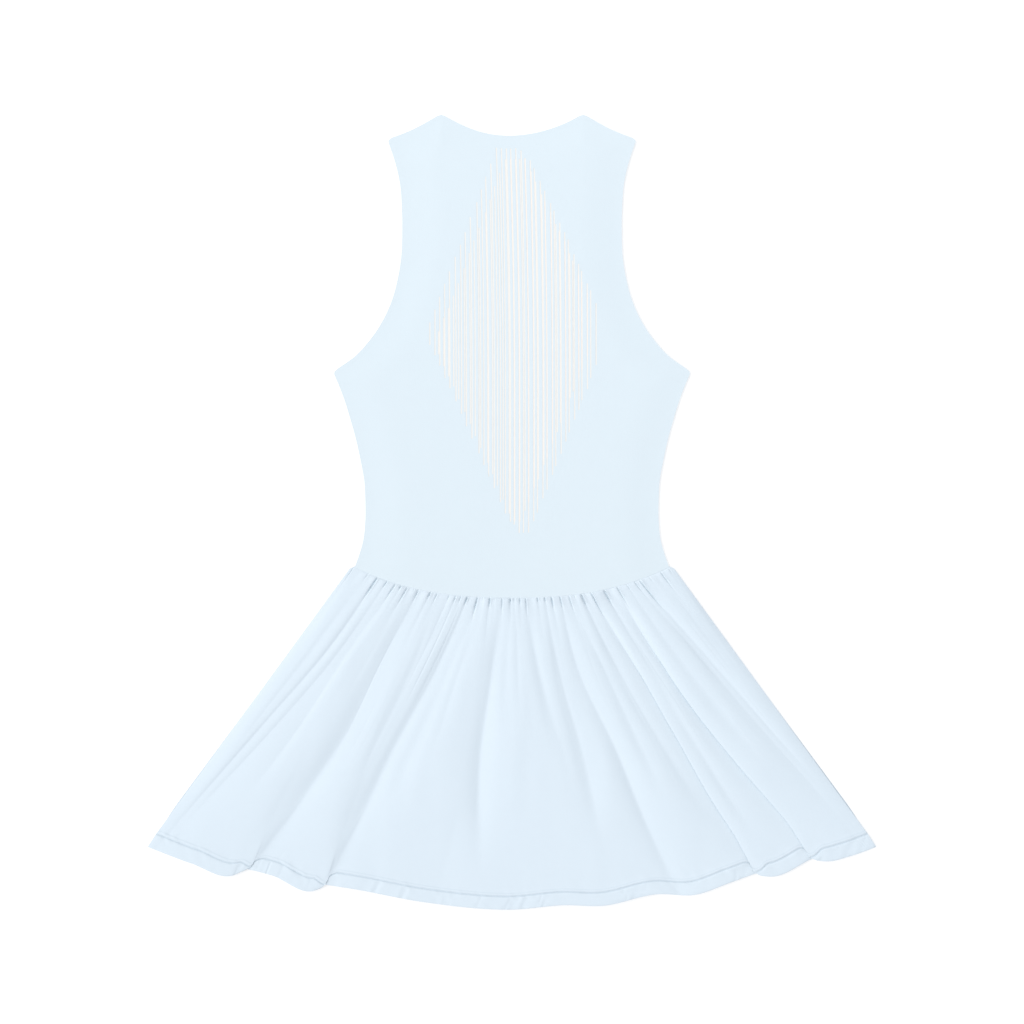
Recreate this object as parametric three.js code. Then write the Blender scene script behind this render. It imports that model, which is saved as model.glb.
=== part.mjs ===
// A sleeveless dress of pale blue stretch knit, laid flat on its front with its back uppermost.
// A fitted bodice ends in a dropped, curved waist seam, and a flared skirt is gathered into it.
// Millimetres. +X is to the right, +Y towards the neck, +Z up, and the dress rests on z = 0.
import * as THREE from 'three';

// Driving dimensions
const cloth = 1.3; // thickness of every cloth wall
const gap = 0.3; // between pieces, at seams and between layers
const neck = { half: 77.4, y: 433.3, backDrop: 24, frontDrop: 78 };
const shoulder = { half: 135.7, y: 405.5, dip: 2.6 };
const waist = { half: 171, cornerY: -60.2, drop: 33, power: 2.5 };
const skirt = { topHalf: 176.6, cornerDrop: 2.5, hemHalf: 396.8, hemY: -433.3, hemRise: 68, hemPower: 1.6 };
const hemBand = { depth: 14.5, extra: 0.5 }; // the turned-up hem is a little thicker
const tuckedIn = 0.8; // how far the front panels stay inside the back ones
const frontHem = { above: 5, below: 1, from: 0.14, to: 0.3, proud: 2.5 }; // where it peeps out, as a share
const diamond = { left: -92, right: 95, top: 397, bottom: -26, middleY: 196, topHalf: 20, bottomHalf: 14, shift: 6 };
const backing = { wall: 1.0, under: cloth + gap };

// Heights of the back panels over the front ones
const laid = cloth + gap; // underside of a back panel where it lies on the front
const crown = { lift: 1.4, fromEdge: 45 }; // the back bodice rises over the backing
const loft = { height: 3.5, reach: 0.2, atHem: 0.85, fromSide: 11 }; // air held by the gathers
const frontLoft = 1.5; // the front skirt is bunched too, which thickens it by this much
const slope = { left: 2.4, right: 0.5 }; // reach of a crease on each side, in its widths

// Colours
const paleBlue = 0xe6f3fc;
const skirtBlue = 0xe2effa;
const warmWhite = 0xf9f5f0;

// Half width of the bodice from waist corner to shoulder tip, a row for each level
const bodiceSide = [
  { y: -60.2, half: 171.0 },
  { y: -50, half: 167.3 },
  { y: -31, half: 161.9 },
  { y: -9, half: 159.7 },
  { y: 12, half: 159.7 },
  { y: 34, half: 160.9 },
  { y: 56, half: 164.9 },
  { y: 78, half: 169.7 },
  { y: 100, half: 175.8 },
  { y: 122, half: 182.6 },
  { y: 143, half: 190.8 },
  { y: 152, half: 194.0 }, // underarm point
  { y: 165, half: 178.2 },
  { y: 187, half: 154.6 },
  { y: 209, half: 140.1 },
  { y: 231, half: 130.4 },
  { y: 253, half: 124.5 },
  { y: 277, half: 120.6 },
  { y: 302, half: 119.5 },
  { y: 330, half: 119.9 },
  { y: 358, half: 122.1 },
  { y: 383, half: 128.0 },
  { y: 396, half: 132.3 },
  { y: 405.5, half: 135.7 }, // shoulder tip
];

// Creases of the back skirt from the waist seam to the hem. "at" is the place across the skirt in percent
// of its half width at a quarter, half and three quarters of the way down too, "from" and "to" say where
// along its length the crease fades in and out, depth 1 reaches the layer below, width is in millimetres.
// Each falls gently on its left side and steeply on its right.
const creases = [
  { at: [-97, -97.4, -98, -98.5, -99], from: 0, to: 0.35, depth: 0.35, width: 4 },
  { at: [-89, -91.5, -94, -96, -97.5], from: 0, to: 0.7, depth: 0.4, width: 8 },
  { at: [-81, -86.5, -92, -95.5, -98], from: 0, to: 1, depth: 0.55, width: 5, main: true },
  { at: [-74, -82, -88, -93, -97], from: 0, to: 0.9, depth: 0.55, width: 10 },
  { at: [-71, -77.5, -80.5, -84, -87], from: 0, to: 0.8, depth: 0.35, width: 4 },
  { at: [-64.5, -68, -71, -73, -75], from: 0, to: 0.2, depth: 0.4, width: 5 },
  { at: [-57, -61, -62.8, -66, -69.5], from: 0, to: 1, depth: 0.95, width: 10, main: true },
  { at: [-51, -52.5, -54, -55, -56], from: 0, to: 0.3, depth: 0.35, width: 8 },
  { at: [-45, -46.5, -50.5, -53, -55], from: 0, to: 0.7, depth: 0.45, width: 6 },
  { at: [-34, -45, -50.5, -53, -55], from: 0, to: 0.3, depth: 0.4, width: 5 },
  { at: [-27, -35.5, -43.3, -46.5, -49.5], from: 0, to: 1, depth: 0.9, width: 10, main: true },
  { at: [-22, -30, -36.5, -41, -44], from: 0, to: 0.75, depth: 0.4, width: 5 },
  { at: [-17, -25, -29.5, -33, -35], from: 0, to: 0.55, depth: 0.35, width: 7 },
  { at: [-13.5, -14, -15, -18, -21], from: 0.72, to: 1, depth: 0.25, width: 14 },
  { at: [-6.5, -9.5, -12, -10.5, -8], from: 0, to: 0.92, depth: 0.75, width: 9, main: true },
  { at: [-1.5, -3, -4.5, -6, -7], from: 0, to: 0.45, depth: 0.25, width: 5 },
  { at: [2.5, 2.8, 3, 3, 3], from: 0, to: 0.4, depth: 0.3, width: 4 },
  { at: [7.5, 13, 19, 21, 22], from: 0, to: 0.5, depth: 0.6, width: 8 },
  { at: [19.5, 22.6, 26.2, 27.3, 28], from: 0, to: 0.85, depth: 0.4, width: 6 },
  { at: [28, 31.5, 38.5, 42, 46], from: 0, to: 1, depth: 0.6, width: 8, main: true },
  { at: [36, 43, 48, 52, 56], from: 0, to: 0.7, depth: 0.35, width: 7 },
  { at: [42.5, 49.4, 55.6, 61, 66], from: 0, to: 0.85, depth: 0.5, width: 6 },
  { at: [50.5, 57.5, 61.8, 64.5, 68], from: 0, to: 1, depth: 0.9, width: 9, main: true },
  { at: [56.5, 62.5, 66, 70, 75], from: 0, to: 0.9, depth: 0.4, width: 8 },
  { at: [62.5, 68, 74.3, 79.5, 84.5], from: 0, to: 1, depth: 0.95, width: 9, main: true },
  { at: [66, 74, 79, 83, 88], from: 0, to: 0.7, depth: 0.3, width: 6 },
  { at: [78, 86, 92, 96.5, 99], from: 0, to: 1, depth: 0.7, width: 5, main: true },
  { at: [90, 93, 96, 98, 99], from: 0, to: 0.35, depth: 0.3, width: 6 },
];

// Waves of the hem line: how far each place lies below the smooth hem curve, a row for each turn
const hemWave = [
  { at: -100, drop: 0 },
  { at: -88, drop: 5 },
  { at: -76.5, drop: 7 },
  { at: -72.8, drop: -3.5 }, // the outer fold lies over the inner one
  { at: -66, drop: -2.5 },
  { at: -54, drop: 4.3 },
  { at: -51.2, drop: -3.8 },
  { at: -44, drop: -4.5 },
  { at: -25, drop: -1.3 },
  { at: 0, drop: 0 },
  { at: 14, drop: -2 },
  { at: 25, drop: 3 },
  { at: 40, drop: -1.2 },
  { at: 50, drop: 6.4 },
  { at: 60, drop: 0.4 },
  { at: 67, drop: -3.7 },
  { at: 70.5, drop: 2.8 },
  { at: 82.5, drop: -5.6 },
  { at: 86, drop: 0.8 },
  { at: 93, drop: 2.2 },
  { at: 100, drop: 0 },
];

// Gathers: 54 small puckers, unevenly spaced and of uneven length, die out below the seam
const gathers = { count: 54, height: 1.3, atSeam: 0.35, length: 0.04 };

const clamp01 = (a) => Math.min(1, Math.max(0, a));
const mix = (a, b, k) => a + (b - a) * k;
const ease = (from, to, a) => {
  const k = clamp01((a - from) / (to - from));
  return k * k * (3 - 2 * k);
};

// Reads a table column between rows, in a straight line
function between(rows, key, value, a) {
  let k = 1;
  while (k < rows.length - 1 && rows[k][key] < a) k += 1;
  const [low, high] = [rows[k - 1], rows[k]];
  return mix(low[value], high[value], clamp01((a - low[key]) / (high[key] - low[key])));
}

// Place of a crease across the skirt (-1 to 1) at a distance t down it, on a smooth curve through its stations
function creasePlace(crease, t) {
  const last = crease.at.length - 1;
  const k = Math.min(last - 1, Math.floor(t * last));
  const station = (i) => crease.at[Math.min(last, Math.max(0, i))];
  const [a, b, c, d] = [k - 1, k, k + 1, k + 2].map(station);
  const f = t * last - k;
  const curve = b + 0.5 * f * (c - a + f * (2 * a - 5 * b + 4 * c - d + f * (3 * (b - c) + d - a)));
  return curve / 100;
}

// Waist seam as the bodice and the skirt share it
const seamY = (x) => waist.cornerY - waist.drop * (1 - Math.min(1, Math.abs(x) / waist.half) ** waist.power);

// Plan of the skirt: s runs across from -1 to 1, t down from the seam to the hem
const skirtHalf = (t) => mix(skirt.topHalf, skirt.hemHalf, t);

function skirtTopY(s) {
  const x = Math.abs(s) * skirt.topHalf;
  const corner = clamp01((x - waist.half) / (skirt.topHalf - waist.half));
  return seamY(x) - gap - skirt.cornerDrop * corner;
}

const hemCurveY = (s) => skirt.hemY + skirt.hemRise * Math.abs(s) ** skirt.hemPower;

function skirtPoint(s, t, hemY) {
  return { x: s * skirtHalf(t), y: mix(skirtTopY(s), hemY(s), t) };
}

const backHemY = (s) => hemCurveY(s) - between(hemWave, 'at', 'drop', 100 * s);

// The front hem follows the plain curve a little above the back one, and peeps out right of the centre
function frontHemY(s) {
  const middle = (frontHem.from + frontHem.to) / 2;
  const peep = ease(frontHem.from, middle, s) - ease(middle, frontHem.to, s);
  return Math.max(hemCurveY(s) + mix(frontHem.above, -frontHem.below, peep), backHemY(s) - frontHem.proud);
}

// How far the air in the gathers lifts the cloth at a place, from 0 at the seam and the sides to 1
function puff(s, t) {
  const fromSide = (1 - Math.abs(s)) * skirtHalf(t);
  return ease(-0.02, loft.reach, t) * mix(1, loft.atHem, ease(0.6, 1, t)) * (1 - Math.exp(-fromSide / loft.fromSide));
}

// All creases together, 0 on a ridge and 1 where the cloth touches the layer below
function creased(s, t) {
  let ridge = 1;
  for (const crease of creases) {
    const start = ease(crease.from - 0.06, crease.from + 0.02, t);
    const end = crease.to < 1 ? ease(crease.to - 0.25, crease.to + 0.02, t) : 0;
    const off = (s - creasePlace(crease, t)) * skirtHalf(t);
    const side = off < 0 ? slope.left * crease.width : slope.right * crease.width;
    ridge *= 1 - crease.depth * start * (1 - end) * Math.exp(-Math.abs(off) / side);
  }
  return 1 - ridge;
}

// Phase of the puckers along the seam, in half waves, with its spacing unsteady by up to a quarter
const puckerPhase = (s) => (gathers.count / 2) * (s + 1) + 0.4 * Math.sin(9.1 * s + 1) + 0.25 * Math.sin(23 * s + 2);

function pucker(s, t) {
  const length = gathers.length * (1 + 0.6 * Math.sin(37 * s) * Math.sin(11 * s + 1));
  const swell = gathers.atSeam + (1 - gathers.atSeam) * ease(0, 0.03, t);
  return gathers.height * swell * Math.exp(-t / length) * (0.5 - 0.5 * Math.cos(2 * Math.PI * puckerPhase(s)));
}

// Heights of the two skirt walls
const frontSkirtTop = (s, t) => cloth + frontLoft * puff(s, t);

function backSkirtUnder(s, t) {
  const free = loft.height * puff(s, t) * (1 - creased(s, t));
  return frontSkirtTop(s, t) + gap + free + pucker(s, t) * clamp01((1 - Math.abs(s)) * 20);
}

function backSkirtTop(s, t) {
  const step = 0.002;
  const rise = backSkirtUnder(Math.min(1, s + step), t) - backSkirtUnder(Math.max(-1, s - step), t);
  const steep = Math.min(1.6, Math.hypot(1, rise / (2 * step * skirtHalf(t)))); // even thickness on a steep side
  return backSkirtUnder(s, t) + cloth * steep + hemBand.extra * ease(hemStart(s), hemStart(s) + 0.01, t);
}

// Where the stitch line of the hem crosses, as a share of the skirt's length
const hemStart = (s) => 1 - hemBand.depth / (skirtTopY(s) - backHemY(s));

// Columns of the skirt's mesh: two for each pucker at the seam, and further down some that keep to the
// main creases, closer together beside them
function puckerColumns(perPucker) {
  const last = Math.round(puckerPhase(1) * perPucker);
  const first = Math.round(puckerPhase(-1) * perPucker);
  const columns = [-1];
  for (let k = first + 1, s = -1; k < last; k += 1) {
    while (puckerPhase(s) * perPucker < k) s += 0.0005;
    columns.push(s);
  }
  return [...columns, 1];
}

const mains = creases.filter((crease) => crease.main);

function foldColumns(spacing, beside) {
  const marks = [];
  for (let s = -1; s <= 1; s += spacing) marks.push(s);
  const close = mains.flatMap((crease) => beside.map((off) => creasePlace(crease, 0.5) + off / skirtHalf(0.5)));
  const kept = marks.filter((s) => close.every((c) => Math.abs(c - s) > 0.45 * spacing));
  const all = [-1, ...kept, ...close, 1].filter((s) => Math.abs(s) <= 1).sort((a, b) => a - b);
  return all.filter((s, i) => i === 0 || i === all.length - 1 || (s - all[i - 1] > 0.004 && 1 - s > 0.004));
}

// A column named by its place half way down drifts with the main creases on both sides of it
function drift(column, t) {
  const posts = [-1, ...mains.map((crease) => creasePlace(crease, 0.5)), 1];
  const there = [-1, ...mains.map((crease) => creasePlace(crease, t)), 1];
  let k = 1;
  while (k < posts.length - 1 && posts[k] < column) k += 1;
  return mix(there[k - 1], there[k], (column - posts[k - 1]) / (posts[k] - posts[k - 1]));
}

// Joins two neighbouring rows of points with triangles, also where one row has more points
function strip(upper, lower) {
  const triangles = [];
  let [i, j] = [0, 0];
  const paired = upper.length === lower.length;
  while (i < upper.length - 1 || j < lower.length - 1) {
    const nextUpper = i < upper.length - 1 ? upper[i + 1].across : Infinity;
    const nextLower = j < lower.length - 1 ? lower[j + 1].across : Infinity;
    const moveUpper = paired ? i <= j : nextUpper <= nextLower;
    if (moveUpper) {
      triangles.push([upper[i].id, lower[j].id, upper[i + 1].id]);
      i += 1;
    } else {
      triangles.push([upper[i].id, lower[j].id, lower[j + 1].id]);
      j += 1;
    }
  }
  return triangles;
}

// Makes a closed wall of cloth from rows of points, each with its plan place and its two heights
function clothWall(name, rows, color) {
  const points = rows.flat();
  points.forEach((point, id) => Object.assign(point, { id }));
  const sheet = rows.slice(1).flatMap((row, k) => strip(rows[k], row));
  const edges = new Map();
  for (const [a, b, c] of sheet) {
    for (const [from, to] of [[a, b], [b, c], [c, a]]) edges.set(`${from}>${to}`, [from, to]);
  }
  const down = points.length;
  const faces = [];
  for (const [a, b, c] of sheet) faces.push([a, b, c], [c + down, b + down, a + down]);
  for (const [from, to] of edges.values()) {
    if (!edges.has(`${to}>${from}`)) faces.push([to, from, from + down], [to, from + down, to + down]);
  }
  const corners = [...points.map((p) => [p.x, p.y, p.top]), ...points.map((p) => [p.x, p.y, p.under])];
  const geometry = new THREE.BufferGeometry();
  geometry.setAttribute('position', new THREE.BufferAttribute(new Float32Array(corners.flat()), 3));
  geometry.setIndex(faces.flat());
  geometry.computeVertexNormals();
  const mesh = new THREE.Mesh(geometry, new THREE.MeshStandardMaterial({ color, roughness: 0.85, metalness: 0 }));
  mesh.name = name;
  return mesh;
}

// Rows of a bodice panel from the shoulders down to the waist seam. u runs across from -1 to 1.
function bodiceRows(neckDrop, inset, heights) {
  const neckAt = neck.half / shoulder.half;
  const columns = [0, 0.16, 0.32, 0.46, neckAt, 0.7, 0.82, 0.92, 1];
  const across = [...columns.slice(1).reverse().map((u) => -u), ...columns];
  const topY = (u) => {
    const a = Math.abs(u);
    if (a <= neckAt) return neck.y - neckDrop * (1 - (a / neckAt) ** 2);
    const along = (a - neckAt) / (1 - neckAt);
    return mix(neck.y, shoulder.y, along) - shoulder.dip * Math.sin(Math.PI * along);
  };
  return [...bodiceSide].reverse().map((level) => {
    const up = (level.y - waist.cornerY) / (shoulder.y - waist.cornerY);
    return across.map((u) => {
      const x = u * (level.half - inset);
      const y = mix(seamY(u * waist.half), topY(u), up);
      return { x, y, across: u, ...heights(x, y, (1 - Math.abs(u)) * level.half) };
    });
  });
}

function backBodice() {
  const heights = (x, y, fromSide) => {
    const edge = Math.min(fromSide, y - seamY(x));
    const under = laid + crown.lift * ease(0, crown.fromEdge, edge);
    return { under, top: under + cloth };
  };
  return clothWall('back_bodice', bodiceRows(neck.backDrop, 0, heights), paleBlue);
}

function frontBodice() {
  const heights = () => ({ under: 0, top: cloth });
  return clothWall('front_bodice', bodiceRows(neck.frontDrop, tuckedIn, heights), paleBlue);
}

// The diamond backing, from its flat top to its flat foot
function insetBacking() {
  const levels = [1, 0.5, 0, -0.35, -0.7, -1];
  const rows = levels.map((level) => {
    const share = Math.abs(level);
    const tip = level > 0 ? diamond.topHalf : diamond.bottomHalf;
    const y = level > 0 ? mix(diamond.middleY, diamond.top, share) : mix(diamond.middleY, diamond.bottom, share);
    const left = mix(diamond.left, diamond.shift - tip, share);
    const right = mix(diamond.right, diamond.shift + tip, share);
    return [0, 0.25, 0.5, 0.75, 1].map((across) => {
      return { x: mix(left, right, across), y, across, under: backing.under, top: backing.under + backing.wall };
    });
  });
  return clothWall('inset_backing', rows, warmWhite);
}

function backSkirt() {
  const place = (s, t) => {
    return { ...skirtPoint(s, t, backHemY), across: s, top: backSkirtTop(s, t), under: backSkirtUnder(s, t) };
  };
  const fine = puckerColumns(4);
  const plain = puckerColumns(2);
  const fold = foldColumns(0.025, [-14, -6, 0, 4]);
  const rows = [
    ...[0, 0.02, 0.045, 0.08].map((t) => fine.map((s) => place(s, t))),
    ...[0.125, 0.185].map((t) => plain.map((s) => place(s, t))),
    ...[0.25, 0.33, 0.42, 0.51, 0.6, 0.69, 0.78, 0.87, 0.945, 0.965, 1].map((t) => {
      return fold.map((column) => place(drift(column, t), t));
    }),
  ];
  return clothWall('back_skirt', rows, skirtBlue);
}

function frontSkirt() {
  const columns = 40;
  const rows = [0, 0.1, 0.2, 0.4, 0.7, 1].map((t) => {
    return Array.from({ length: columns + 1 }, (_, k) => {
      const s = -1 + (2 * k) / columns;
      const point = skirtPoint(s, t, frontHemY);
      return { ...point, x: point.x * (1 - tuckedIn / skirtHalf(t)), across: s, under: 0, top: frontSkirtTop(s, t) };
    });
  });
  return clothWall('front_skirt', rows, skirtBlue);
}

const dress = new THREE.Group();
dress.add(frontBodice(), insetBacking(), backBodice(), frontSkirt(), backSkirt());

export default dress;
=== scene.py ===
import math

import bpy
import numpy as np
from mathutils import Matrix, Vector


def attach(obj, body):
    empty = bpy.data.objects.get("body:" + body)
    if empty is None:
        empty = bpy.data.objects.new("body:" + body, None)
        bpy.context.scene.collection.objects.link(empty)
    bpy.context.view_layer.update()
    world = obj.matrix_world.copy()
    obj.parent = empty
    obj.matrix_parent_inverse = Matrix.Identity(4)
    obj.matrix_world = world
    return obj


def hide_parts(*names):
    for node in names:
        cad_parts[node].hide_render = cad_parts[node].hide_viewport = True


# A sleeveless dress of pale blue stretch knit, laid flat with its back uppermost.
# Lengths in the dictionaries are millimetres, meshes are in metres.
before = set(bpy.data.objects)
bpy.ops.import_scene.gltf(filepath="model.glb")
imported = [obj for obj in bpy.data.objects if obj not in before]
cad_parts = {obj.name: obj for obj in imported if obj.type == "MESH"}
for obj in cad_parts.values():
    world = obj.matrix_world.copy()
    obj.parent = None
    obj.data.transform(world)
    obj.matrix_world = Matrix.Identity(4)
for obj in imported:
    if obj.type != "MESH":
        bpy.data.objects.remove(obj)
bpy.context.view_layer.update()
mm = 0.001

# Heights and outline that all panels share
pattern = {
    "layer": 1.3,  # room that each cloth takes in the stack
    "gap": 0.3,
    "neckHalf": 77.4, "neckY": 433.3, "backNeckDrop": 24, "frontNeckDrop": 78,
    "shoulderHalf": 135.7, "shoulderY": 405.5, "shoulderDip": 2.6,
    "waistHalf": 171, "waistY": -60.2, "waistDrop": 33, "waistPower": 2.5,
    "skirtTopHalf": 176.6, "cornerDrop": 2.5,
    "hemHalf": 396.8, "hemY": -433.3, "hemRise": 68, "hemPower": 1.6,
}

# Half width of the bodice at each level; the underarm is the only corner
sides = {
    "y": [-60.2, -50, -31, -9, 12, 34, 56, 78, 100, 122, 143, 152,
          158.5, 165, 187, 209, 231, 253, 277, 302, 330, 358, 383, 396, 405.5],
    "half": [171, 167.3, 161.9, 159.7, 159.7, 160.9, 164.9, 169.7, 175.8, 182.6, 190.8, 195,
             185.6, 176, 154.6, 140.1, 130.4, 124.5, 120.6, 119.5, 119.9, 122.1, 128, 132.3, 135.7],
    "underarm": 11,  # row of the corner
    "rounded": 1.2,  # how much its tip is cut back
    "roundedReach": 1.6,
}


def mix(a, b, k):
    # Straight from a at k = 0 to b at k = 1
    return a + (b - a) * k


def ease(start, end, a):
    # From 0 at start to 1 at end, level at both
    k = np.clip((a - start) / (end - start), 0, 1)
    return k * k * (3 - 2 * k)


def hump(away, width):
    # A bell: 1 in the middle, e to the minus square of the distance in widths
    return np.exp(-(away / width) ** 2)


def decay(away, reach):
    # 1 at nothing, and e times less with each further reach
    return np.exp(-away / reach)


def smoothLine(xs, ys, at):
    # A curve through table rows, with slopes from the neighbours, so it has no corners
    xs, ys, at = np.array(xs, float), np.array(ys, float), np.asarray(at, float)
    slopes = np.gradient(ys, xs)
    k = np.clip(np.searchsorted(xs, at) - 1, 0, len(xs) - 2)
    width = xs[k + 1] - xs[k]
    f = np.clip((at - xs[k]) / width, 0, 1)
    rise = f * f * (3 - 2 * f)
    bend = width * (f * (1 - f) ** 2 * slopes[k] - f * f * (1 - f) * slopes[k + 1])
    return mix(ys[k], ys[k + 1], rise) + bend


def noise(x, y, seed):
    # Smooth seeded noise from -1 to 1 on a lattice of unit cells
    table = np.random.default_rng(seed).uniform(-1, 1, (128, 128))
    xi, yi = np.floor(x).astype(int), np.floor(y).astype(int)
    fx, fy = x - xi, y - yi
    fx, fy = fx * fx * (3 - 2 * fx), fy * fy * (3 - 2 * fy)
    upper = mix(table[xi % 128, yi % 128], table[(xi + 1) % 128, yi % 128], fx)
    lower = mix(table[xi % 128, (yi + 1) % 128], table[(xi + 1) % 128, (yi + 1) % 128], fx)
    return mix(upper, lower, fy)


def seamY(x):
    # The dropped waist: level at the sides, lowest at the centre
    share = np.minimum(1, np.abs(x) / pattern["waistHalf"])
    return pattern["waistY"] - pattern["waistDrop"] * (1 - share ** pattern["waistPower"])


def topY(x, neckDrop):
    # Neckline, a parabola, and shoulder line, straight less half a sine wave
    a = np.abs(x)
    neckLine = pattern["neckY"] - neckDrop * (1 - (a / pattern["neckHalf"]) ** 2)
    along = np.clip((a - pattern["neckHalf"]) / (pattern["shoulderHalf"] - pattern["neckHalf"]), 0, 1)
    dip = pattern["shoulderDip"] * np.sin(np.pi * along)
    shoulderLine = mix(pattern["neckY"], pattern["shoulderY"], along) - dip
    return np.where(a <= pattern["neckHalf"], neckLine, shoulderLine)


def sideHalf(y):
    # One curve below the underarm and one above it
    k = sides["underarm"]
    below = smoothLine(sides["y"][:k + 1], sides["half"][:k + 1], y)
    above = smoothLine(sides["y"][k:], sides["half"][k:], y)
    cutBack = sides["rounded"] * decay(np.abs(y - sides["y"][k]), sides["roundedReach"])
    return np.where(y < sides["y"][k], below, above) - cutBack


def cellMiddles(values):
    # The mean of each cell's four corners
    return (values[:-1, :-1] + values[:-1, 1:] + values[1:, :-1] + values[1:, 1:]) / 4


def clothMesh(name, points, thickness, uv, keep=None, tint=None):
    # A closed shell of cloth from a grid of points, rows from the neck down and columns left to right.
    # The lower side lies straight below the upper one, so a tight fold can't push it through.
    # keep says which cells stay, tint is one number for each cell, for the material's second colour.
    rows, columns = points.shape[:2]
    ids = np.arange(rows * columns).reshape(rows, columns)
    cells = np.stack([ids[:-1, :-1], ids[1:, :-1], ids[1:, 1:], ids[:-1, 1:]], axis=-1)
    chosen = np.ones(cells.shape[:2], bool) if keep is None else keep
    used, corners = np.unique(cells[chosen].ravel(), return_inverse=True)
    top = corners.reshape(-1, 4)
    count = len(used)
    # An edge that no neighbour has the other way round lies on the rim, and gets a wall
    start, stop = top.ravel(), np.roll(top, -1, axis=1).ravel()
    rim = ~np.isin(start * count + stop, stop * count + start)
    start, stop = start[rim], stop[rim]
    walls = np.stack([stop, start, start + count, stop + count], axis=-1)
    faces = np.concatenate([top, top[:, ::-1] + count, walls]).astype(np.int32)
    upper = points.reshape(-1, 3)[used] * mm
    lower = upper - np.array([0, 0, thickness * mm])
    mesh = bpy.data.meshes.new(name)
    mesh.vertices.add(2 * count)
    mesh.vertices.foreach_set("co", np.concatenate([upper, lower]).astype(np.float32).ravel())
    mesh.loops.add(faces.size)
    mesh.loops.foreach_set("vertex_index", faces.ravel())
    mesh.polygons.add(len(faces))
    mesh.polygons.foreach_set("loop_start", np.arange(0, faces.size, 4, dtype=np.int32))
    mesh.polygons.foreach_set("use_smooth", np.ones(len(faces), bool))
    mesh.update(calc_edges=True)
    cut = uv.reshape(-1, 2)[used][faces.ravel() % count] * mm
    mesh.uv_layers.new(name="cut").data.foreach_set("uv", cut.astype(np.float32).ravel())
    if tint is not None:
        attribute = mesh.attributes.new("tint", "FLOAT", "FACE")
        shares = np.concatenate([tint[chosen], tint[chosen], np.zeros(len(walls))])
        attribute.data.foreach_set("value", shares.astype(np.float32))
    mesh.validate()
    # Sharp edges around the narrow walls, or the flat sides would be shaded as if they were round
    ends = np.empty(2 * len(mesh.edges), np.int32)
    mesh.edges.foreach_get("vertices", ends)
    ends = np.sort(ends.reshape(-1, 2), axis=1)
    border = np.stack([start, stop], axis=1)
    border = np.sort(np.concatenate([border, border + count]), axis=1)
    sharp = np.isin(ends[:, 0] * 2 * count + ends[:, 1], border[:, 0] * 2 * count + border[:, 1])
    mesh.attributes.new("sharp_edge", "BOOLEAN", "EDGE").data.foreach_set("value", sharp)
    piece = bpy.data.objects.new(name, mesh)
    bpy.context.scene.collection.objects.link(piece)
    return piece


# Materials

colors = {
    # The skirt's second colour, mixed in along the hem's stitches, is painted shade of the stitch grooves
    "bodice": "#ccd6da", "skirt": "#cbd5db", "stitchShadeColor": "#8b9fad",
    "slitOnce": "#dedad3", "slitTwice": "#e4dad0", "floor": "#a8a8a8", "floorGlow": "#ffffff",
}

# Polyamide and elastane single jersey, piece dyed. It looks matt and even, with a slight sheen at grazing
# angles. Its loops are finer than a pixel of the photo, so all they give is a faint grain.
jersey = {
    "wale": 0.9, "course": 1.125,  # width and height of two loops
    "relief": 0.022,
    "grain": 700.0,  # cells a metre of the yarn's unevenness, 1.4 mm each
    "mottle": 45.0, "darker": 0.985,  # cells a metre of the dye's unevenness, 22 mm each, and its depth
    "roughness": 0.9, "specular": 0.2, "sheen": 0.06, "sheenRoughness": 0.5,
}


def linear(hexColor):
    # sRGB hex to the linear values that shaders use
    parts = np.array([int(hexColor[k:k + 2], 16) for k in (1, 3, 5)]) / 255
    low = parts / 12.92
    return tuple(np.where(parts <= 0.04045, low, ((parts + 0.055) / 1.055) ** 2.4)) + (1.0,)


def addNode(tree, kind, inputs=None, **settings):
    # inputs holds values and the sockets to link, settings the node's own options
    node = tree.nodes.new(kind)
    for key, value in settings.items():
        setattr(node, key, value)
    for key, value in (inputs or {}).items():
        if isinstance(value, bpy.types.NodeSocket):
            tree.links.new(value, node.inputs[key])
        else:
            node.inputs[key].default_value = value
    return node


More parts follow.
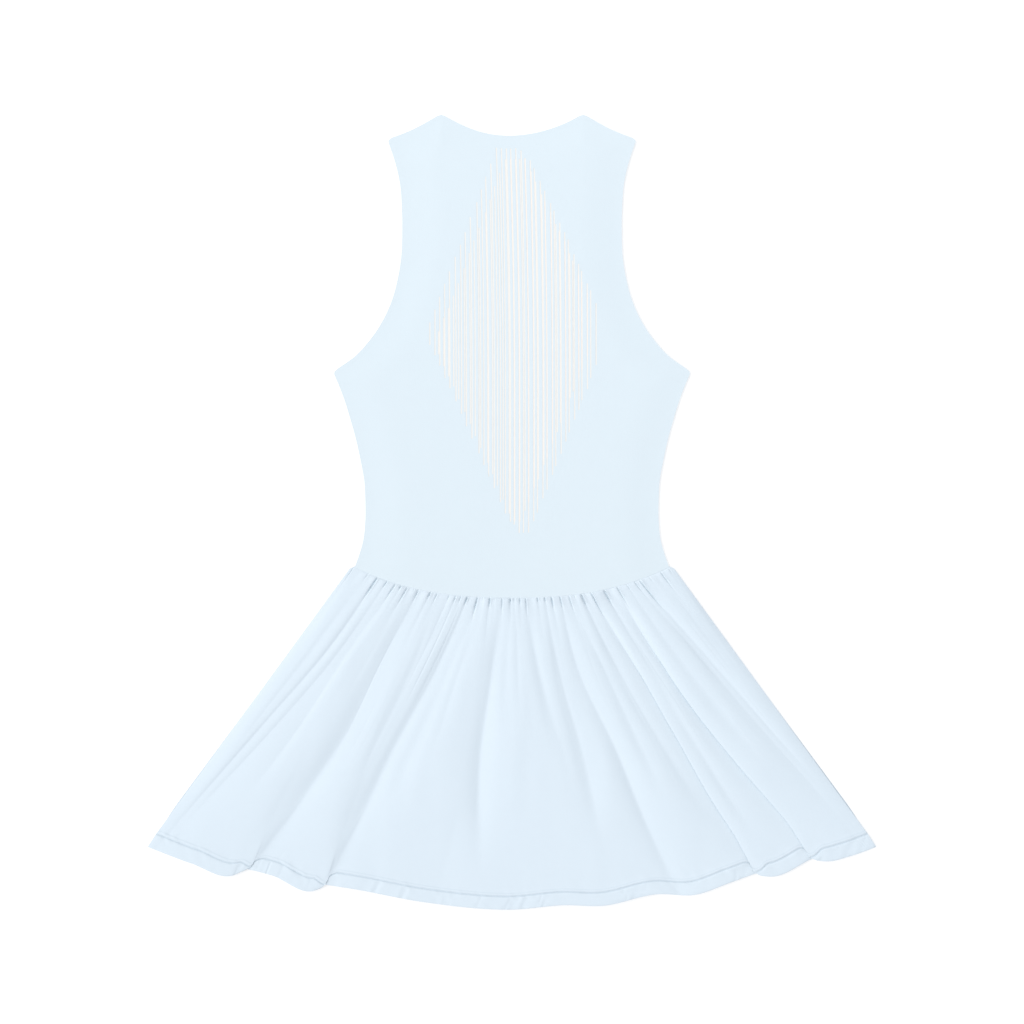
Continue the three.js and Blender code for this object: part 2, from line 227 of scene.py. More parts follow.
def knitMaterial(name, color, second=None):
    # Wales and courses are two crossed sine waves in the bump, at their real size. A second colour
    # shows where the mesh's tint is above 0.
    material = bpy.data.materials.new(name)
    material.use_nodes = True
    tree = material.node_tree
    tree.nodes.clear()
    place = addNode(tree, "ShaderNodeUVMap", uv_map="cut").outputs["UV"]
    split = addNode(tree, "ShaderNodeSeparateXYZ", {"Vector": place})
    waves = []
    for axis, size in (("X", jersey["wale"]), ("Y", jersey["course"])):
        turns = 2 * math.pi / (size * mm)
        phase = addNode(tree, "ShaderNodeMath", {0: split.outputs[axis], 1: turns}, operation="MULTIPLY")
        waves.append(addNode(tree, "ShaderNodeMath", {0: phase.outputs[0]}, operation="SINE").outputs[0])
    loops = addNode(tree, "ShaderNodeMath", {0: waves[0], 1: waves[1]}, operation="ADD")
    grain = addNode(tree, "ShaderNodeTexNoise", {"Vector": place, "Scale": jersey["grain"], "Detail": 2.0})
    height = addNode(tree, "ShaderNodeMath", {
        0: grain.outputs["Fac"], 1: 3.0, 2: loops.outputs[0],
    }, operation="MULTIPLY_ADD")
    bump = addNode(tree, "ShaderNodeBump", {
        "Height": height.outputs[0], "Strength": 1.0, "Distance": jersey["relief"] * mm,
    })
    mottle = addNode(tree, "ShaderNodeTexNoise", {"Vector": place, "Scale": jersey["mottle"], "Detail": 4.0})
    base = linear(color)
    darker = tuple(jersey["darker"] * value for value in base[:3]) + (1.0,)
    tone = addNode(tree, "ShaderNodeMix", {
        "Factor": mottle.outputs["Fac"], "A": darker, "B": base,
    }, data_type="RGBA").outputs["Result"]
    if second:
        share = addNode(tree, "ShaderNodeAttribute", attribute_name="tint")
        tone = addNode(tree, "ShaderNodeMix", {
            "Factor": share.outputs["Fac"], "A": tone, "B": linear(second),
        }, data_type="RGBA").outputs["Result"]
    shader = addNode(tree, "ShaderNodeBsdfPrincipled", {
        "Base Color": tone, "Roughness": jersey["roughness"],
        "Specular IOR Level": jersey["specular"], "Sheen Weight": jersey["sheen"],
        "Sheen Roughness": jersey["sheenRoughness"], "Normal": bump.outputs["Normal"],
    })
    output = addNode(tree, "ShaderNodeOutputMaterial")
    tree.links.new(shader.outputs["BSDF"], output.inputs["Surface"])
    return material


def glowingMaterial(name, color, glowColor, glow):
    # Opal acrylic lit from below: dull and evenly white, with hardly any shadow on it
    material = bpy.data.materials.new(name)
    material.use_nodes = True
    shader = material.node_tree.nodes["Principled BSDF"]
    shader.inputs["Base Color"].default_value = linear(color)
    shader.inputs["Roughness"].default_value = 0.9
    shader.inputs["Emission Color"].default_value = linear(glowColor)
    shader.inputs["Emission Strength"].default_value = glow
    return material


bodiceKnit = knitMaterial("bodiceKnit", colors["bodice"])
# Its second colour is painted shade along the hem's stitch grooves
skirtKnit = knitMaterial("skirtKnit", colors["skirt"], second=colors["stitchShadeColor"])
backingKnit = knitMaterial("backingKnit", colors["slitOnce"], second=colors["slitTwice"])


def finishPiece(piece, material, node):
    piece.data.materials.append(material)
    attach(piece, "root")
    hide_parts(node)


# Bodice

bodice = {
    "thickness": 0.1, "frontThickness": 0.8,
    "crown": 1.4,  # rise over the backing, away from the edges
    "crownReach": 45,
    "unevenness": 0.12,
    "cornerRadius": 5.0,  # at the shoulder tips
    "neckPoint": 1.2,  # how much the points beside the neck are cut back
    "overSkirt": 0.5,  # how far the seam's edge reaches over the skirt
    "seamDip": 0.1, "frontInset": 0.3, "frontDip": 0.1,
}

# Columns and rows of the two panels. Inside the centre the columns stand still, outside it they spread to
# the side by these shares. firstRows are the distances of the rows next to the neck.
backGrid = {
    "centre": 107, "rowCount": 166,
    "spread": [0, 0.12, 0.25, 0.38, 0.5, 0.62, 0.74, 0.84, 0.91, 0.95, 0.975, 0.99, 1],
}
frontGrid = {"centre": 100, "rowCount": 90, "spread": [0, 0.25, 0.5, 0.75, 0.9, 1]}
firstRows = [0, 0.5, 1.2, 2.5]
otherRows = (4.5, 465)

# Slits at the centre of the back: one uneven comb, cut twice, with the second a little right and down
slits = {
    "first": -90.0, "count": 33, "pitch": 5.37, "arch": 6.8, "width": 1.35, "unsteady": 0.9,
    "left": -94.7, "leftY": 194.5, "right": 96.5, "rightY": 205.4, "lastX": 83.5,
    "top": 395.1, "bottom": -11.4,
    "slopes": [2.46, 2.275, 2.48, 2.268],  # upper left, upper right, lower right, lower left
    "secondRight": 9.5, "secondDown": 10.9,
}

# How the cloth's grain leans at the centre of the back
grainLine = {"straight": 0.5, "lean": 3.8, "leanFrom": 120, "leanOver": 252, "half": 95}

# Backing under the slits: a rounded diamond
backing = {
    "thickness": 0.5, "below": 0.02, "rows": (402, -31, -4.0), "outerColumns": ([-98, -94], [98, 104, 110]),
    "top": 408, "bottom": -34, "widestY": 200, "centreX": 6, "half": 106, "endHalf": 16, "fullness": 1.35,
}


def combPlaces():
    # Slit centres: an even pitch, slightly arched, and unsteady by seeded steps
    k = np.arange(slits["count"])
    arch = slits["arch"] * np.sin(np.pi * k / slits["count"]) ** 1.5
    shake = np.random.default_rng(5).uniform(-1, 1, slits["count"]) * slits["unsteady"]
    return slits["first"] + slits["pitch"] * k + arch + shake


def inDiamond(x, y):
    # Between four straight lines from the left and the right corner, cut off at top, bottom and right
    upperLeft, upperRight, lowerRight, lowerLeft = slits["slopes"]
    inside = (y < slits["leftY"] + (x - slits["left"]) * upperLeft)
    inside &= (y < slits["rightY"] + (slits["right"] - x) * upperRight)
    inside &= (y > slits["rightY"] - (slits["right"] - x) * lowerRight)
    inside &= (y > slits["leftY"] - (x - slits["left"]) * lowerLeft)
    return inside & (y < slits["top"]) & (y > slits["bottom"]) & (x < slits["lastX"])


def inComb(x, y):
    # Nearer to a slit's centre than half its width, and inside the diamond
    nearest = np.abs(x[..., None] - combPlaces()).min(axis=-1)
    return (nearest < slits["width"] / 2) & inDiamond(x, y)


def slitCells(x, y):
    # The second comb is the first one moved right and down
    first = inComb(x, y)
    second = inComb(x - slits["secondRight"], y + slits["secondDown"])
    return first, second


def bow(x, y):
    # The grain leans left by the square of the height, and not at all at the sides, seam and neck
    lean = np.clip((y - grainLine["leanFrom"]) / grainLine["leanOver"], 0, 2) ** 2
    lean = grainLine["straight"] - grainLine["lean"] * lean
    atEnds = ease(-60, -15, y) * (1 - ease(398, 428, y))
    return lean * np.clip(1 - (x / grainLine["half"]) ** 2, 0, 1) * atEnds


def slitColumns():
    # Both edges of each slit, without those that all but coincide
    half = slits["width"] / 2
    places = combPlaces()
    edges = np.concatenate([places - half, places + half])
    edges = np.sort(np.concatenate([edges, edges + slits["secondRight"]]))
    return edges[np.concatenate([[True], np.diff(edges) > 0.12])]


def crownAt(fromEdge):
    # An eased rise from the edge to the full crown
    return bodice["crown"] * ease(0, bodice["crownReach"], fromEdge)


def backTop(x, y, fromEdge):
    # Two layers and a gap up, crowned away from the edges and slightly uneven
    uneven = bodice["unevenness"] * noise(x / 60, y / 80, 3) * ease(0, 20, fromEdge)
    return 2 * pattern["layer"] + pattern["gap"] + crownAt(fromEdge) + uneven


def bodiceGrid(neckDrop, still, grid, inset=0.0):
    # Rows run from the neck to the seam, blended between the two. Columns run from side to side.
    still = np.unique(np.concatenate([still, [-pattern["neckHalf"], pattern["neckHalf"]]]))
    height = pattern["shoulderY"] - pattern["waistY"]
    rows = np.concatenate([firstRows, np.linspace(*otherRows, grid["rowCount"])[:-1]]) / height
    up = 1 - np.concatenate([rows, [0.9975, 1]])
    half = sideHalf(mix(pattern["waistY"], pattern["shoulderY"], up))[:, None] - inset
    outer = grid["centre"] + (half - grid["centre"]) * np.array(grid["spread"])
    x = np.hstack([-outer[:, ::-1], np.broadcast_to(still, (len(up), len(still))), outer])
    y = mix(seamY(x[-1]), topY(x[0], neckDrop), up[:, None])
    fromSide = half - np.abs(x)
    fromTop = np.maximum(topY(x, neckDrop) - y, 0)
    fromSeam = y - seamY(x)

    # The shoulder tips are rounded: a square at the corner is pressed into a quarter disc
    radius = bodice["cornerRadius"]
    nearTop, nearSide = np.clip(radius - fromTop, 0, radius), np.clip(radius - fromSide, 0, radius)
    nearTop = np.where(np.abs(x) > pattern["neckHalf"] + 15, nearTop, 0)
    x = x - np.sign(x) * nearSide * (1 - np.sqrt(1 - (nearTop / radius) ** 2 / 2))
    point = bodice["neckPoint"] * hump(np.abs(x) - pattern["neckHalf"], 2.5) * decay(fromTop, 4)
    y = y - nearTop * (1 - np.sqrt(1 - (nearSide / radius) ** 2 / 2)) - point
    return x, y, fromSide, fromTop, fromSeam


def buildBackBodice():
    # Its height is the crown less a dip that decays away from the seam, and its edge reaches over the
    # skirt by another decay. Cells in either comb are left out.
    still = np.concatenate([slitColumns(), [-97, 103]])
    x, y, fromSide, fromTop, fromSeam = bodiceGrid(pattern["backNeckDrop"], still, backGrid)
    fromSeam = np.maximum(fromSeam, 0)
    z = backTop(x, y, np.minimum(fromSide, fromTop + 4)) - bodice["seamDip"] * decay(fromSeam, 1.6)
    points = np.stack([x + bow(x, y), y - bodice["overSkirt"] * decay(fromSeam, 1), z], axis=-1)
    first, second = slitCells(cellMiddles(x), cellMiddles(y))
    uv = np.stack([x, y], axis=-1)
    piece = clothMesh("backBodice", points, bodice["thickness"], uv, keep=~(first | second))
    finishPiece(piece, bodiceKnit, "back_bodice")
    return piece


def buildInsetBacking():
    # Lies just under the back bodice. Its tint is 1 where both combs open over it.
    left, right = backing["outerColumns"]
    x, y = np.meshgrid(np.concatenate([left, slitColumns(), right]), np.arange(*backing["rows"]))
    upper = (backing["top"] - y) / (backing["top"] - backing["widestY"])
    lower = (y - backing["bottom"]) / (backing["widestY"] - backing["bottom"])
    fullness = np.minimum(backing["fullness"] * np.clip(np.minimum(upper, lower), 0, 1), 1)
    inside = np.abs(x - backing["centreX"]) < mix(backing["endHalf"], backing["half"], fullness)
    fromEdge = np.minimum(sideHalf(y) - np.abs(x), topY(x, pattern["backNeckDrop"]) - y + 4)
    z = backTop(x, y, fromEdge) - bodice["thickness"] - backing["below"]
    points = np.stack([x + bow(x, y), y, z], axis=-1)
    first, second = slitCells(cellMiddles(x), cellMiddles(y))
    keep = inside[:-1, :-1] & inside[:-1, 1:] & inside[1:, :-1] & inside[1:, 1:]
    uv = np.stack([x, y], axis=-1)
    both = (first & second).astype(float)
    piece = clothMesh("insetBacking", points, backing["thickness"], uv, keep=keep, tint=both)
    finishPiece(piece, backingKnit, "inset_backing")
    return piece


def buildFrontBodice():
    # Hidden in the photo, so it is one plain flat panel
    still = np.linspace(-88, 88, 23)
    x, y, fromSide, fromTop, fromSeam = bodiceGrid(
        pattern["frontNeckDrop"], still, frontGrid, inset=bodice["frontInset"])
    z = pattern["layer"] - bodice["frontDip"] * decay(np.minimum(fromSide, fromTop), 1.5)
    uv = np.stack([x, y], axis=-1)
    piece = clothMesh("frontBodice", np.stack([x, y, z], axis=-1), bodice["frontThickness"], uv)
    finishPiece(piece, bodiceKnit, "front_bodice")
    return piece


backBodice = buildBackBodice()
insetBacking = buildInsetBacking()
frontBodice = buildFrontBodice()
print("bodice: back", len(backBodice.data.polygons), "cells, backing", len(insetBacking.data.polygons))


# Skirt: s runs across from -1 to 1 and t down from the seam to the hem

skirt = {
    "thickness": 0.8,
    "loft": 6.2,  # height of the folds
    "frontLoft": 1.5,
    "reach": 0.2,  # share of the length in which the folds reach that height
    "atHem": 0.42,
    "fromSide": 26,
    "length": 340,
    "columns": 600,
    "tuckedUnder": 1.0,  # how far its top edge goes under the bodice
    "seamLift": 0.2, "liftReach": 35,
}

# Long folds from the waist seam to the hem. "at" is the valley's place in percent of the half width at the
# seam, a quarter, half and three quarters down, and at the hem. "left" and "right" are the reaches of its two
# slopes in millimetres. "over": 1 where the left side lies over the right one near the hem, -1 the other way.
foldColumns = ("at", "from", "to", "depth", "left", "right", "over")
foldRows = [
    ([-97, -97.4, -98, -98.5, -99],    0.00, 0.35, 0.35, 8, 2.5, 0),
    ([-89, -91.5, -94, -96, -97.5],    0.00, 0.70, 0.35, 4, 16, 0),
    ([-82, -85.5, -91, -95, -98],      0.00, 1.00, 0.50, 3, 14, 0),
    ([-76, -81, -87, -92.5, -96.8],    0.00, 0.97, 0.45, 4, 20, 0),
    ([-71, -77.5, -80.5, -84, -87],    0.00, 0.80, 0.30, 12, 4, 0),
    ([-64.5, -68, -71, -73, -75],      0.00, 0.20, 0.40, 6, 7, 0),
    ([-57, -61, -62.8, -67.3, -72.8],  0.00, 1.00, 0.85, 15, 15, 1),
    ([-51, -52.5, -54, -55, -56],      0.00, 0.30, 0.35, 9, 10, 0),
    ([-45, -46.5, -50.5, -53, -55],    0.00, 0.70, 0.35, 9, 10, 0),
    ([-34, -45, -50.5, -53, -55],      0.00, 0.30, 0.40, 6, 7, 0),
    ([-27, -35.5, -43.3, -47.5, -52],  0.00, 1.00, 0.80, 15, 15, 1),
    ([-21, -30, -36.5, -41, -44],      0.00, 0.75, 0.40, 8, 7, 0),
    ([-16, -25, -29.5, -33, -35],      0.00, 0.55, 0.30, 10, 12, 0),
    ([-13.5, -14, -15, -18, -21],      0.72, 1.00, 0.20, 20, 29, 0),
    ([-6.5, -9.5, -12, -10.5, -8],     0.00, 0.92, 0.65, 13, 14, 0),
    ([-1, -3, -4.5, -6, -7],           0.00, 0.45, 0.22, 6, 10, 0),
    ([2.5, 2.8, 3, 3, 3],              0.00, 0.40, 0.25, 5, 7, 0),
    ([8.5, 13, 19, 21, 22],            0.00, 0.50, 0.50, 10, 12, 0),
    ([20, 22.6, 26.2, 27.3, 28],       0.00, 0.85, 0.42, 9, 12, 0),
    ([29, 31.5, 38.5, 42, 46],         0.00, 1.00, 0.65, 10, 14, 0),
    ([35, 43, 48, 52, 56],             0.00, 0.70, 0.38, 9, 12, 0),
    ([42.5, 49.4, 55.6, 61, 66],       0.00, 0.85, 0.50, 9, 10, 0),
    ([48.5, 57, 61.8, 64.5, 68.5],     0.00, 1.00, 0.95, 15, 4, -1),
    ([56.3, 62.5, 66, 70, 75],         0.00, 0.90, 0.45, 10, 12, 0),
    ([63, 68, 74.3, 79.5, 84],         0.00, 1.00, 1.00, 15, 4, -1),
    ([70, 76, 81, 85, 88],             0.00, 0.70, 0.35, 9, 12, 0),
    ([75, 84, 90, 94.5, 97.5],         0.00, 0.95, 0.45, 9, 12, 0),
    ([78, 87, 92.5, 96.5, 99],         0.00, 0.80, 0.60, 8, 5, 0),
    ([90, 93, 96, 98, 99],             0.00, 0.35, 0.30, 8, 10, 0),
]
folds = [dict(zip(foldColumns, row)) for row in foldRows]

# What a fold does in each kind of "over". "turns" is the stretch of t in which it turns into an overlap,
# "step" the width of the step there. "reaches" and "shallower" are the changes left and right, and "round"
# how much rounder the valley gets down to the hem.
lips = {
    1: {"turns": (0.72, 0.93), "step": 8, "reaches": (0.5, 1.3), "shallower": (0.7, 0), "round": 4.5,
        "overlap": 0.3, "overlaps": (0.93, 1)},
    -1: {"turns": (0.12, 0.6), "step": 3.5, "reaches": (1, 1), "shallower": (0, 0.8), "round": 0,
         "overlap": 0.8, "overlaps": (0.1, 0.5)},
    0: {"turns": (2, 3), "step": 0, "reaches": (1, 1), "shallower": (0, 0), "round": 2},
}

# Sharp little tucks under the waist seam: place in percent, length in millimetres and strength
tucks = [
    (-97, 14, 0.5), (-88, 8, 0.3), (-82.3, 22, 1.0), (-76.2, 8, 0.6), (-71.1, 16, 0.7), (-67.6, 5, 1.0),
    (-63.8, 18, 0.6), (-59.7, 3, 0.4), (-57, 12, 0.5), (-49.7, 7, 1.0), (-45.5, 10, 0.5), (-38, 6, 0.5),
    (-34, 8, 0.6), (-30.9, 7, 0.5), (-27, 9, 1.0), (-20.9, 19, 0.9), (-17.5, 3, 0.5), (-13.4, 10, 1.0),
    (-10.5, 3, 0.4), (-5.9, 14, 0.6), (-0.9, 6, 0.9), (1.5, 4, 0.7), (4.9, 7, 0.7), (8.5, 16, 0.5),
    (15.7, 5, 0.9), (20.1, 5, 1.0), (24.2, 12, 1.0), (29.4, 12, 0.7), (34.8, 16, 0.6), (38.1, 3, 0.5),
    (42.4, 13, 1.4), (48.3, 24, 0.7), (56.3, 15, 1.2), (64.3, 18, 0.6), (70.2, 8, 0.4), (75, 12, 0.4),
    (78, 30, 0.8), (84, 6, 0.3), (91, 16, 0.6), (96, 6, 0.3),
]

gathers = {
    "height": 2.6, "rise": 1.6, "fall": 42, "fullness": 0.66,
    # strength, width, length, reach and seed of each ripple, from fine to broad
    "ripples": [(0.34, 4.2, 40, 9, 11), (0.4, 7, 70, 25, 12), (0.4, 13, 90, 60, 13)],
    "tuckWidth": 0.5, "tuckDepth": 2.0, "tuckRim": 0.3, "tuckTail": 0.25,
}

# How far the hem lies below its plain curve, in millimetres, and where its folds overlap
hem = {
    "at": [-100, -88, -76.5, -72.8, -66, -54, -51.2, -44, -25, 0, 14, 25,
           40, 50, 60, 67, 70.5, 82.5, 86, 93, 100],
    "drop": [0, 5, 7, -3.5, -2.5, 4.3, -3.8, -4.5, -1.3, 0, -2, 3,
             -1.2, 6.4, 0.4, -3.7, 2.8, -5.6, 0.8, 2.2, 0],
    "corners": [-72.8, -51.2, 67, 82.5],
    "depth": 14.2,  # from the stitch line to the edge
    "overlap": 5.0, "lipWidth": 4.0,
    "groove": 0.9, "grooveWidth": 0.75,
    "step": 0.5,  # the turned-up cloth is this much thicker
    "roll": 0.45,  # of the cloth above the stitches
    "pucker": 0.4, "dent": 0.6, "edgeDip": 0.5, "sideDip": 0.1,
    "secondRow": 3.6,  # above the first, in millimetres
    # Width of the painted shade along the stitch rows, and its strength on the first and second row
    "stitchWidth": 0.6, "paintedShadeStrengths": (0.26, 0.12),
    "peep": (0.14, 0.3),  # where the front hem shows, as a share of the half width
}


def skirtHalf(t):
    # Half width, straight from the seam to the hem
    return mix(pattern["skirtTopHalf"], pattern["hemHalf"], t)


def skirtTopY(s):
    # The waist seam less the gap, and past the bodice's corner less a straight drop
    x = np.abs(s) * pattern["skirtTopHalf"]
    corner = (x - pattern["waistHalf"]) / (pattern["skirtTopHalf"] - pattern["waistHalf"])
    return seamY(x) - pattern["gap"] - pattern["cornerDrop"] * np.clip(corner, 0, 1)


def hemCurveY(s):
    # Lowest at the centre, and higher by a power of the share of the way to the side
    return pattern["hemY"] + pattern["hemRise"] * np.abs(s) ** pattern["hemPower"]


def hemEdgeY(s):
    # The plain curve less the drops, smooth but for the corners where one fold passes over the next
    at, drop = np.array(hem["at"], float), np.array(hem["drop"], float)
    corners = [0] + [int(np.argmin(np.abs(at - corner))) for corner in hem["corners"]] + [len(at) - 1]
    total = np.zeros_like(s)
    for first, last in zip(corners[:-1], corners[1:]):
        inside = (100 * s >= at[first]) & ((100 * s < at[last]) | (last == len(at) - 1))
        stretch = smoothLine(at[first:last + 1], drop[first:last + 1], 100 * s)
        total = np.where(inside, stretch, total)
    return hemCurveY(s) - total


def foldPlace(fold, t):
    # A smooth curve through the fold's five places, as s
    return smoothLine([0, 0.25, 0.5, 0.75, 1], fold["at"], t) / 100


def stitchDepth(s):
    # The hem's depth, which narrows where a fold rolls over at its lip
    share = np.ones_like(s)
    for fold in folds:
        if fold["over"]:
            off = (s - fold["at"][-1] / 100) * pattern["hemHalf"] * fold["over"]
            inner = 0.5 + 0.5 * np.tanh(off / 1.5)
            share = share - mix(0.8 * ease(-15, 0, off), 0.4 * (1 - ease(0, 14, off)), inner)
    return hem["depth"] * share


def puff(s, t):
    # Share of the loft: rises below the seam, sinks to the hem, and falls off to the side edges
    fromSide = (1 - np.abs(s)) * skirtHalf(t)
    rise = ease(-0.02, skirt["reach"], t) * mix(1, skirt["atHem"], ease(0.6, 1, t))
    return rise * (1 - decay(fromSide, skirt["fromSide"]))


def creased(s, t):
    # All long folds together: 0 on a ridge, 1 where the cloth touches the layer below. A fold leaves
    # 1 less depth times e to the minus distance over reach, and its two sides are joined by a tanh step.
    ridge = np.ones_like(s)
    for fold in folds:
        lip = lips[fold["over"]]
        fade = ease(fold["from"] - 0.06, fold["from"] + 0.02, t)
        if fold["to"] < 1:
            fade = fade * (1 - ease(fold["to"] - 0.25, fold["to"] + 0.02, t))
        off = (s - foldPlace(fold, t)) * skirtHalf(t)
        turned = ease(*lip["turns"], t)
        right = 0.5 + 0.5 * np.tanh(1.5 * off / (0.4 + lip["step"] * turned))
        # Valleys are sharp at the seam and get rounder on the way down, but for plain ones near the sides
        rounding = lip["round"] if fold["over"] or abs(fold["at"][0]) < 60 else 0
        radius = 0.8 + rounding * t
        away = np.sqrt(off ** 2 + radius ** 2) - radius
        low = np.zeros_like(s)
        for k, (side, share) in enumerate((("left", 1 - right), ("right", right))):
            reach = fold[side] * mix(1, lip["reaches"][k], turned)
            deep = fold["depth"] * (1 - lip["shallower"][k] * turned)
            low = low + share * deep * decay(away, reach)
        ridge = ridge * (1 - fade * low)
    return 1 - ridge


def tuckCuts(seamX, down):
    # Each tuck is a narrow notch, steeper on its right, with a rim beside it and a long faint tail
    cut = np.zeros_like(seamX)
    for at, length, strength in tucks:
        off = seamX - at / 100 * pattern["skirtTopHalf"]
        narrow = gathers["tuckWidth"] * (0.7 + 0.5 * strength)
        notch = hump(off, np.where(off < 0, 1.5, 1) * narrow)
        notch = notch - gathers["tuckRim"] * hump(off - 2.2 * narrow, 1.2 * narrow)
        fade = ease(0.3, 2, down) * (1 - ease(0.4 * length, 1.3 * length, down))
        tail = gathers["tuckTail"] * hump(off, 1.2 + down / 30) * ease(0.3, 4, down)
        cut = cut + strength * (notch * fade + tail * decay(down, 2.5 * length + 15))
    return cut


def gatherHeight(seamX, down):
    # Puckers that the seam holds, each named by where its line starts at the seam: a swell that rises
    # and falls away, uneven by ripples that lose their fine part first, less the tucks
    ripple = gathers["fullness"]
    for strength, across, along, reach, seed in gathers["ripples"]:
        ripple = ripple + strength * noise(seamX / across, down / along, seed) * decay(down, reach)
    swell = gathers["height"] * (1 - decay(down, gathers["rise"])) * decay(down, gathers["fall"])
    cuts = gathers["tuckDepth"] * np.clip(tuckCuts(seamX, down), -0.3, 1.1)
    return swell * np.clip(ripple, 0.15, 1.5) - cuts


def longRipples(seamX, t):
    # Faint ripples that fan out from the gathers and fade towards the hem, and narrow valleys where a
    # slower noise passes through zero
    wide = 0.30 * noise(seamX / 9 + 30, t * 2.5, 23) + 0.16 * noise(seamX / 5 + 60, t * 3.5, 24)
    lines = hump(noise(seamX / 7 + 11, t * 1.6, 25), 0.16) * ease(-0.3, 0.5, noise(seamX / 20, t * 4, 26))
    return (wide - 0.32 * lines) * ease(0.01, 0.1, t) * (1 - ease(0.35, 0.85, t))


def wrinkles(x, t):
    # A broad noise and a finer one, added up, and eased in below the seam
    broad = 0.45 * noise(x / 38 + 40, t * 2.2, 21) + 0.2 * noise(x / 15 + 80, t * 3.5, 22)
    return broad * ease(0.05, 0.3, t)


def hemRelief(x, t, fromStitch):
    # Step, roll and groove along the stitches, puckers on both sides of them and dents in the band
    relief = hem["step"] * ease(0.6, -0.6, fromStitch) + hem["roll"] * hump(fromStitch - 2.2, 1.6)
    relief = relief - hem["groove"] * hump(fromStitch, hem["grooveWidth"])
    pucker = noise(x / 5 + 0.8 * fromStitch / 5, fromStitch / 12, 31) * decay(np.abs(fromStitch), 9)
    relief = relief + hem["pucker"] * pucker * (np.abs(fromStitch) < 40)
    dents = hump(noise(x / 6 - fromStitch / 14, fromStitch / 60, 33), 0.2)
    dents = dents * ease(-0.1, 0.4, noise(x / 25, t, 34))
    return relief - hem["dent"] * dents * ease(0, -3, fromStitch)


def lipShift(s, t):
    # Near a lip the cloth doubles back on itself: x moves by an S, the slope of a bell, across the fold
    shift = np.zeros_like(s)
    wide = hem["lipWidth"]
    for fold in folds:
        if fold["over"]:
            lip = lips[fold["over"]]
            off = (s - foldPlace(fold, t)) * skirtHalf(t)
            amount = lip["overlap"] * hem["overlap"] * ease(*lip["overlaps"], t)
            shift = shift - amount * math.sqrt(2 * math.e) * off / wide * hump(off, wide)
    return shift


def frontSkirtTop(s, t):
    # One layer up, plus its share of the front loft
    return pattern["layer"] + skirt["frontLoft"] * puff(s, t)


def skirtColumns():
    # Column places at the seam, closer together at tucks, at the main folds and at the sides
    s = np.linspace(-1, 1, 8001)
    weight = np.ones_like(s)
    for at, length, strength in tucks:
        weight += 3.5 * hump(100 * s - at - 0.1, 0.75)
    for fold in folds:
        if fold["over"] or fold["to"] >= 0.95:
            weight += (5 if fold["over"] else 2) * hump(100 * s - fold["at"][0], 1.5)
    weight += 3 * decay(1 - np.abs(s), 0.01)
    total = np.concatenate([[0], np.cumsum((weight[1:] + weight[:-1]) / 2)])
    return np.interp(np.linspace(0, total[-1], skirt["columns"]), total, s)


def skirtGrid():
    # Rows are close together at the seam and in the hem's band. A column that starts in a main fold
    # stays in it down to the hem, and the others keep their share of the room between.
    columns = skirtColumns()
    above = np.unique(np.concatenate([
        np.linspace(0, 0.045, 16), np.linspace(0.045, 0.2, 13), np.linspace(0.2, 0.93, 26),
        np.linspace(0.93, 0.985, 5), np.linspace(0.985, 1, 8),
    ]))
    band = np.array([0.05, 0.1, 0.17, 0.27, 0.4, 0.54, 0.68, 0.8, 0.89, 0.95, 0.985, 1])
    topHem = 1 - hem["depth"] / skirt["length"]
    t = np.concatenate([above * topHem, topHem + band * (1 - topHem)])
    mains = sorted((fold for fold in folds if fold["to"] >= 0.95), key=lambda fold: fold["at"][0])
    posts = np.concatenate([[-1], [fold["at"][0] / 100 for fold in mains], [1]])
    places = np.array([-np.ones_like(t)] + [foldPlace(fold, t) for fold in mains] + [np.ones_like(t)])
    s = np.array([np.interp(columns, posts, places[:, row]) for row in range(len(t))])
    seamX = np.broadcast_to(columns, s.shape) * pattern["skirtTopHalf"]
    return s, np.broadcast_to(t[:, None], s.shape).copy(), seamX, topHem


def buildBackSkirt():
    # x is s times the half width. y goes straight from the seam to the stitch line, and on to the edge.
    s, t, seamX, topHem = skirtGrid()
    edge = hemEdgeY(s)
    share, inBand = np.clip(t / topHem, 0, 1), np.clip((t - topHem) / (1 - topHem), 0, 1)
    stitch = edge + mix(hem["depth"], stitchDepth(s), ease(0.85, 1, share))
    y = mix(mix(skirtTopY(s) + skirt["tuckedUnder"], stitch, share), edge, inBand)
    x = s * skirtHalf(t)
    down = np.maximum(skirtTopY(s) - y, 0)
    fromSide, fromStitch = 1 - np.abs(s), y - stitch

    # Height: the front skirt below, the lift at the seam, folds, gathers and wrinkles, then the hem
    z = frontSkirtTop(s, t) + pattern["gap"] + skirt["thickness"]
    seamLift = skirt["seamLift"] + crownAt(pattern["waistHalf"] - np.abs(seamX))
    z = z + seamLift * decay(down, skirt["liftReach"]) - 0.1 * decay(down, 0.8)
    z = z + skirt["loft"] * puff(s, t) * (1 - creased(s, t)) * (1 + 0.25 * wrinkles(x, t))
    puckers = gatherHeight(seamX, down) + longRipples(seamX, t) * np.clip(fromSide * 6, 0, 1)
    z = z + puckers * np.clip(fromSide * 20, 0, 1) + hemRelief(x, t, fromStitch)
    z = z - hem["edgeDip"] * decay(y - edge, 0.9) - hem["sideDip"] * decay(fromSide * skirtHalf(t), 0.9)

    points = np.stack([x + lipShift(s, t), y, z], axis=-1)
    uv = np.stack([s * 0.8 * pattern["hemHalf"], y], axis=-1)
    # The twin rows of stitches: painted shade of their grooves darkens the first row, and less the second
    first, second = hem["paintedShadeStrengths"]
    above = (fromStitch[:-1, :-1] + fromStitch[1:, :-1]) / 2
    rows = first * hump(above, hem["stitchWidth"])
    rows = rows + second * hump(above - hem["secondRow"], hem["stitchWidth"])
    piece = clothMesh("backSkirt", points, skirt["thickness"], uv, tint=rows)
    finishPiece(piece, skirtKnit, "back_skirt")
    return piece


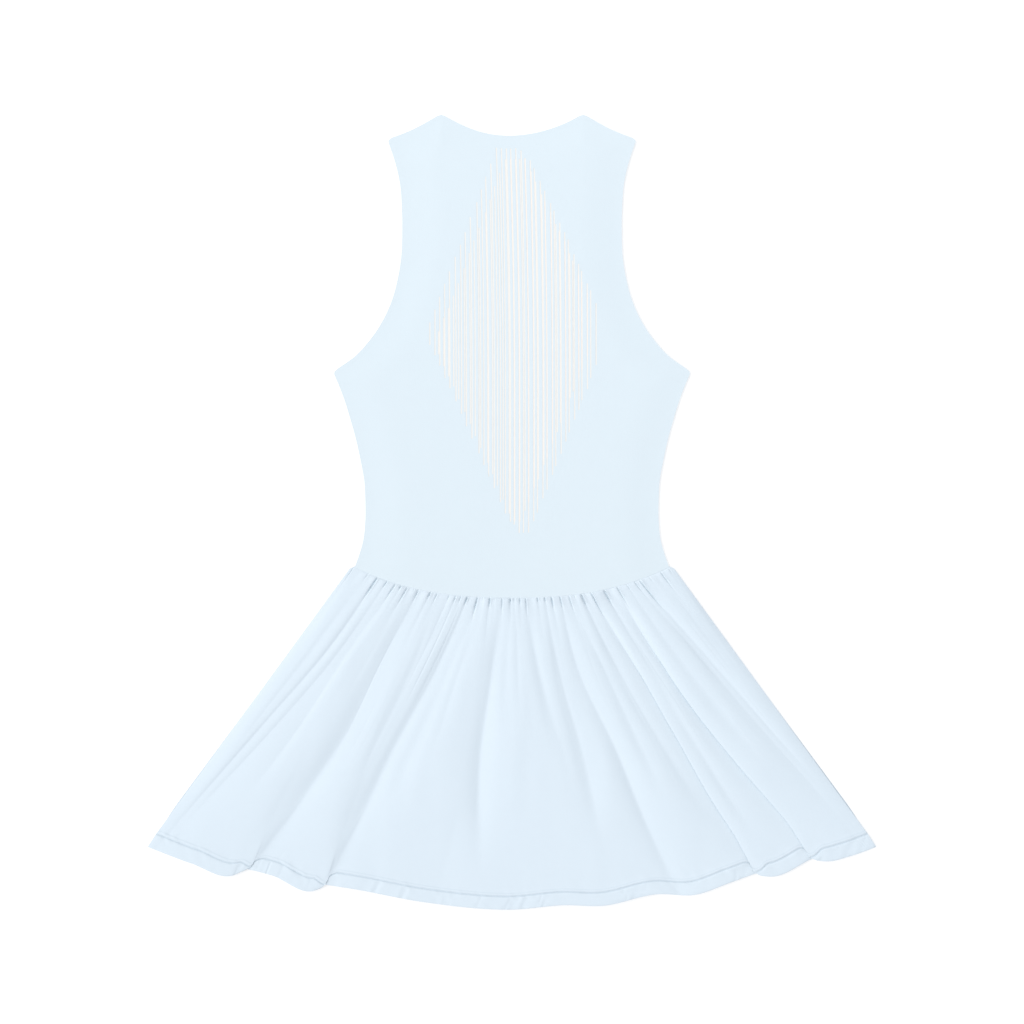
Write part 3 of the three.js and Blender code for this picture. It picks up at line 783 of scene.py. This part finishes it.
def buildFrontSkirt():
    # Hidden but for a strip of its hem, so it is plain
    s, t = np.meshgrid(np.linspace(-1, 1, 161), np.linspace(0, 1, 50))
    start, end = hem["peep"]
    middle = (start + end) / 2
    peep = ease(start, middle, s) - ease(middle, end, s)
    edge = np.maximum(hemCurveY(s) + mix(5, -1, peep), hemEdgeY(s) - 2.5)
    y = mix(skirtTopY(s), edge, t)
    x = s * (skirtHalf(t) - mix(0.8, 4, ease(0.85, 1, t)))
    z = frontSkirtTop(s, t) - 0.1 - 0.3 * decay(y - edge, 1)
    uv = np.stack([x, y], axis=-1)
    piece = clothMesh("frontSkirt", np.stack([x, y, z], axis=-1), skirt["thickness"], uv)
    finishPiece(piece, skirtKnit, "front_skirt")
    return piece


backSkirt = buildBackSkirt()
frontSkirt = buildFrontSkirt()
print("skirt: back", len(backSkirt.data.polygons), "cells")


# Floor, light and camera, in metres

stage = {
    "floorHalf": 4, "floorGlow": 0.6,  # a lit white table, which holds hardly any shadow
    "key": 2.07, "keySize": 55, "keyFrom": (-1.1, 0.08, 1.15),
    "fill": 0.835, "fillColor": "#f3f7ff",
    "neck": 5, "neckAt": (0, 1.3, 1.6), "neckSize": 1.2,
    "lens": 90, "cameraAt": (0, -0.0005, 2.791),
}


def addLight(light, fromPlace, at=(0, 0, 0)):
    # It shines from that place towards the middle of the dress
    holder = bpy.data.objects.new(light.name, light)
    holder.location = at
    holder.rotation_euler = Vector(fromPlace).to_track_quat("Z", "Y").to_euler()
    bpy.context.scene.collection.objects.link(holder)


floorMesh = bpy.data.meshes.new("floor")
size = stage["floorHalf"]
floorCorners = [(-size, -size, 0), (size, -size, 0), (size, size, 0), (-size, size, 0)]
floorMesh.from_pydata(floorCorners, [], [(0, 1, 2, 3)])
floor = bpy.data.objects.new("floor", floorMesh)
bpy.context.scene.collection.objects.link(floor)
opalAcrylic = glowingMaterial("opalAcrylic", colors["floor"], colors["floorGlow"], stage["floorGlow"])
floor.data.materials.append(opalAcrylic)

sun = bpy.data.lights.new("key", "SUN")
sun.energy = stage["key"]
sun.angle = math.radians(stage["keySize"])
addLight(sun, stage["keyFrom"])

panel = bpy.data.lights.new("neckPanel", "AREA")
panel.energy = stage["neck"]
panel.size = stage["neckSize"]
addLight(panel, stage["neckAt"], at=stage["neckAt"])

world = bpy.data.worlds.new("studio")
world.use_nodes = True
world.node_tree.nodes["Background"].inputs["Color"].default_value = linear(stage["fillColor"])
world.node_tree.nodes["Background"].inputs["Strength"].default_value = stage["fill"]
bpy.context.scene.world = world

camera = bpy.data.cameras.new("camera")
camera.lens, camera.sensor_width = stage["lens"], 36
camera.clip_end = 20
cameraObject = bpy.data.objects.new("camera", camera)
cameraObject.location = stage["cameraAt"]
bpy.context.scene.collection.objects.link(cameraObject)
bpy.context.scene.camera = cameraObject
bpy.context.scene.view_settings.view_transform = "Standard"

print("finished")
